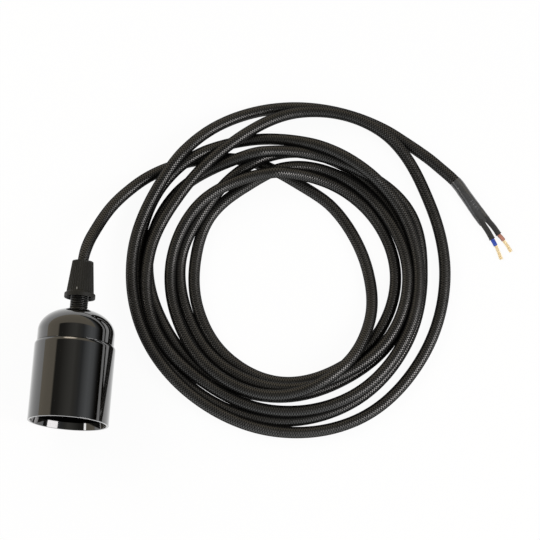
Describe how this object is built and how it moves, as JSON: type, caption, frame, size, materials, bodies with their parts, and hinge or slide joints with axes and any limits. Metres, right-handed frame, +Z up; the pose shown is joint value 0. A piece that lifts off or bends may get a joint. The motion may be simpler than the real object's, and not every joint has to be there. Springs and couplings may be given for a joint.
{
  "type": "pendant cord set",
  "caption": "Lamp holder with a threaded bulb socket, domed cap and cord grip on a coiled textile cord with stripped supply cores.",
  "frame": {"origin": "on the surface that everything rests on, under the middle of the holder's length, which runs from the skirt's mouth to the top of the grip nut", "axes": "+Z up, +Y along the holder's axis from its mouth to its cord grip, +X towards the coil"},
  "size_m": [0.2619, 0.1942, 0.045],
  "materials": {
    "bakelite": "glossy black bakelite",
    "plastic": "matte black moulded plastic",
    "steatite": "unglazed off-white steatite",
    "brass": "bright brass",
    "steel": "zinc-plated steel",
    "braid": "black silky textile braid",
    "shrink": "satin dark grey shrink tube",
    "fibre": "black woven fibre sleeve",
    "blue": "blue core insulation",
    "brown": "brown core insulation",
    "copper": "bare copper strands"
  },
  "bodies": {
    "root": {"skirt": "bakelite", "dome_cap": "bakelite", "grip_nipple": "plastic", "grip_nut": "plastic", "contact_insert": "steatite", "centre_contact": "brass", "side_contact": "brass", "centre_contact_rivet": "brass", "side_contact_rivet": "brass", "terminal_brown": "brass", "terminal_blue": "brass", "terminal_screw_brown": "steel", "terminal_screw_blue": "steel", "inner_core_brown": "brown", "inner_core_blue": "blue", "inner_wire_brown": "copper", "inner_wire_blue": "copper", "cord_in_grip": "braid", "cord_to_coil": "braid", "cord_coil": "braid", "cord_to_sleeve": "braid", "shrink_sleeve": "shrink", "blue_fibre_sleeve": "fibre", "blue_insulation": "blue", "blue_strands": "copper", "brown_fibre_sleeve": "fibre", "brown_insulation": "brown", "brown_strands": "copper"}
  },
  "joints": []
}
